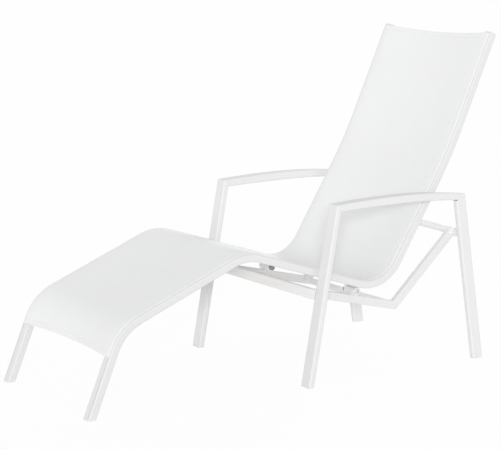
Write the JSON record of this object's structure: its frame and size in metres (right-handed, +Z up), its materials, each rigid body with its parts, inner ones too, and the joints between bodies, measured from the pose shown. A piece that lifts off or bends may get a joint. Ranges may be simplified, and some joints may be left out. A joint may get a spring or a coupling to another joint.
{
  "type": "sun lounger",
  "caption": "White aluminium sun lounger with a white textile sling on an S-curved frame that tilts back between two arm frames.",
  "frame": {"origin": "middle of the whole outline on the floor", "axes": "+X to the sitter's left, +Y towards the back, +Z up"},
  "size_m": [0.6802, 1.526, 1.0663],
  "materials": {
    "white_frame": "white powder coat, satin",
    "sling_textile": "woven coated mesh",
    "keder_plastic": "smooth",
    "white_plastic": "fine grained",
    "black_plastic": "smooth",
    "stainless_steel": "plain"
  },
  "bodies": {
    "arm_frame": {"front_crossbar": "white_frame", "left_armrest": "white_frame", "left_front_foot": "white_plastic", "left_front_leg": "white_frame", "left_inner_bush": "white_plastic", "left_outer_bush": "white_plastic", "left_pivot_barrel": "white_frame", "left_rail_sleeve": "white_frame", "left_rear_foot": "white_plastic", "left_rear_leg": "white_frame", "left_under_rail": "white_frame", "rear_cross_tube": "white_frame", "right_armrest": "white_frame", "right_front_foot": "white_plastic", "right_front_leg": "white_frame", "right_inner_bush": "white_plastic", "right_outer_bush": "white_plastic", "right_pivot_barrel": "white_frame", "right_rail_sleeve": "white_frame", "right_rear_foot": "white_plastic", "right_rear_leg": "white_frame", "right_under_rail": "white_frame", "under_crossbar": "white_frame"},
    "sling_seat": {"back_stretcher": "white_frame", "foot_stretcher": "white_frame", "knee_stretcher": "white_frame", "left_keder": "keder_plastic", "left_nut_cover": "black_plastic", "left_pivot_bolt": "stainless_steel", "left_pivot_bracket": "white_frame", "left_pivot_nut": "stainless_steel", "left_pivot_washer": "stainless_steel", "left_seat_rail": "white_frame", "left_toe_plug": "white_plastic", "left_top_cap": "white_plastic", "right_keder": "keder_plastic", "right_nut_cover": "black_plastic", "right_pivot_bolt": "stainless_steel", "right_pivot_bracket": "white_frame", "right_pivot_nut": "stainless_steel", "right_pivot_washer": "stainless_steel", "right_seat_rail": "white_frame", "right_toe_plug": "white_plastic", "right_top_cap": "white_plastic", "sling": "sling_textile", "top_stretcher": "white_frame"}
  },
  "joints": [
    {"name": "seat_tilt", "type": "hinge", "parent": "arm_frame", "child": "sling_seat", "pos_m": [0, 0.2127, 0.26495], "axis": [-1, 0, 0], "range_deg": [0, 21]}
  ]
}
